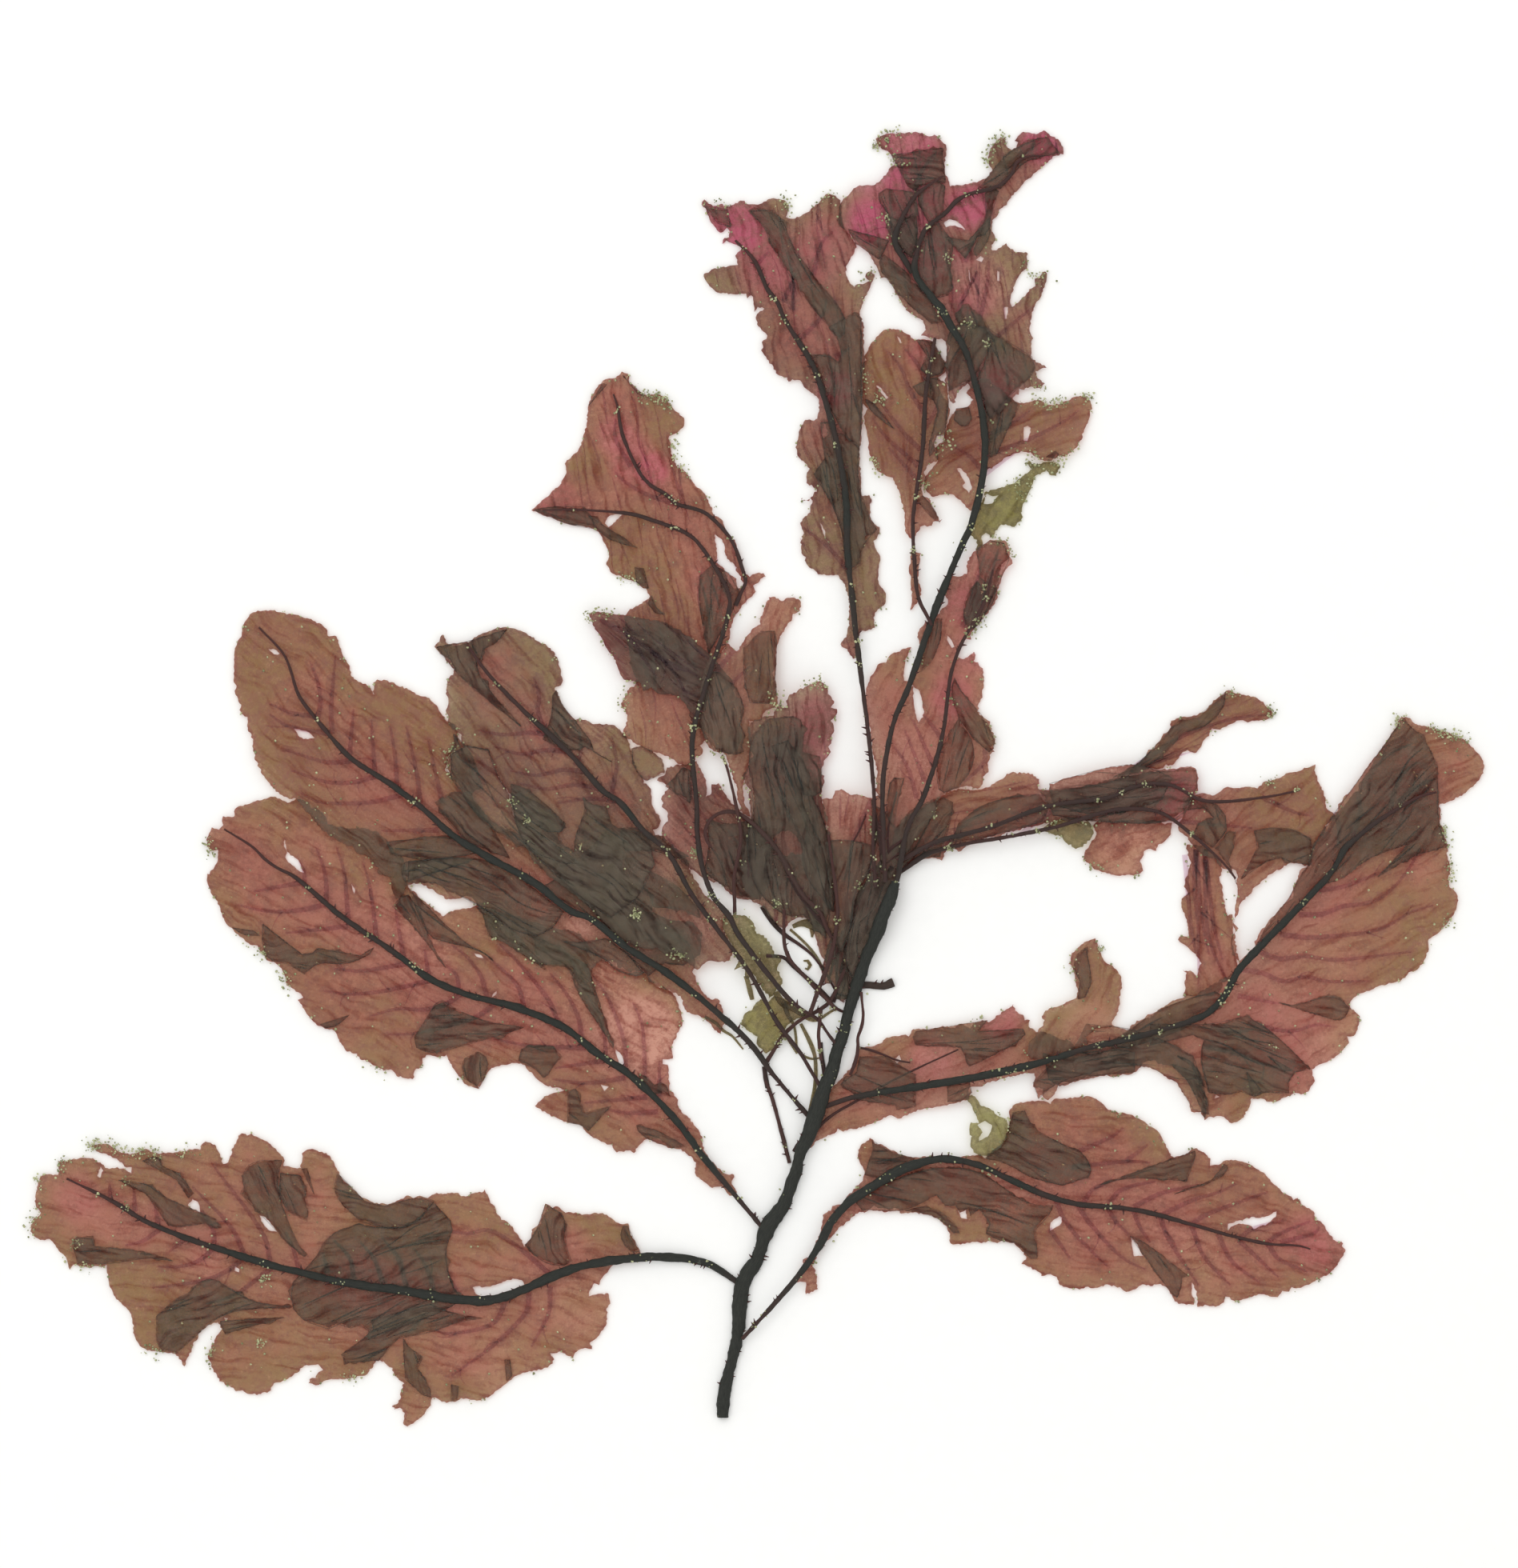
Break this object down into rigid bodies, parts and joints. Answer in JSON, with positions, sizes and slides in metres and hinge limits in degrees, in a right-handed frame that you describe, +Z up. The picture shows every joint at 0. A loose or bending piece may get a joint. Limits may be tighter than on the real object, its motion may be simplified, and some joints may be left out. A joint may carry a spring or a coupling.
{
  "type": "pressed red seaweed specimen",
  "caption": "Flat pressed branching red seaweed: a dark stipe with side midribs carrying broad, thin, puckered blades with ragged margins.",
  "frame": {"origin": "middle of the specimen's outline in plan, at the surface it lies on", "axes": "+X to the specimen's right, +Y from the foot of the stipe to the upper tips, +Z up from the surface"},
  "size_m": [0.2722, 0.2428, 0.0051],
  "materials": {
    "blade": "dried thin membrane, rosewood red, dull",
    "dusky_blade": "dried thin membrane, dusky red where layers overlap",
    "decayed_blade": "dried thin membrane, olive brown, partly decayed",
    "stipe": "dried leathery stem, almost black, satin",
    "thin_stem": "dried thin stem, reddish brown, satin"
  },
  "bodies": {
    "root": {"lower_left_blade": "blade", "lower_right_blade": "blade", "olive_scrap_right": "decayed_blade", "middle_left_blade": "blade", "upper_left_blade": "blade", "inner_left_blade": "dusky_blade", "centre_leaf": "dusky_blade", "wing_blade": "blade", "dark_leaf": "dusky_blade", "wing_right_lobe": "decayed_blade", "hanging_blade": "blade", "branch_tip_blade": "blade", "right_blade": "blade", "curled_blade": "blade", "branch_fan": "blade", "branch_scrap": "decayed_blade", "branch_horn": "blade", "branch_blade": "blade", "right_low_blade": "decayed_blade", "right_mid_blade": "blade", "slender_blade": "blade", "left_top_blade": "dusky_blade", "right_top_blade": "dusky_blade", "bundle_blade": "dusky_blade", "sheath_blade": "blade", "centre_blade": "blade", "olive_scrap_lower": "decayed_blade", "olive_scrap_upper": "decayed_blade", "main_stipe": "stipe", "lower_left_midrib": "stipe", "lower_right_midrib": "stipe", "middle_left_midrib": "stipe", "right_midrib": "stipe", "upper_left_midrib": "stipe", "leaning_stem": "thin_stem", "cross_stem": "thin_stem", "inner_left_midrib": "stipe", "wing_stem": "stipe", "wing_fork": "stipe", "side_stem": "thin_stem", "loop_stem": "thin_stem", "stub": "thin_stem", "oblique_stem": "thin_stem", "hooked_stem": "thin_stem", "slender_red_stem": "thin_stem", "bundle_stem": "thin_stem", "branch_lower_midrib": "stipe", "branch_upper_midrib": "stipe", "centre_midrib": "stipe", "left_top_midrib": "stipe", "right_top_midrib": "stipe", "right_top_fork": "stipe", "slender_midrib": "stipe"}
  },
  "joints": []
}
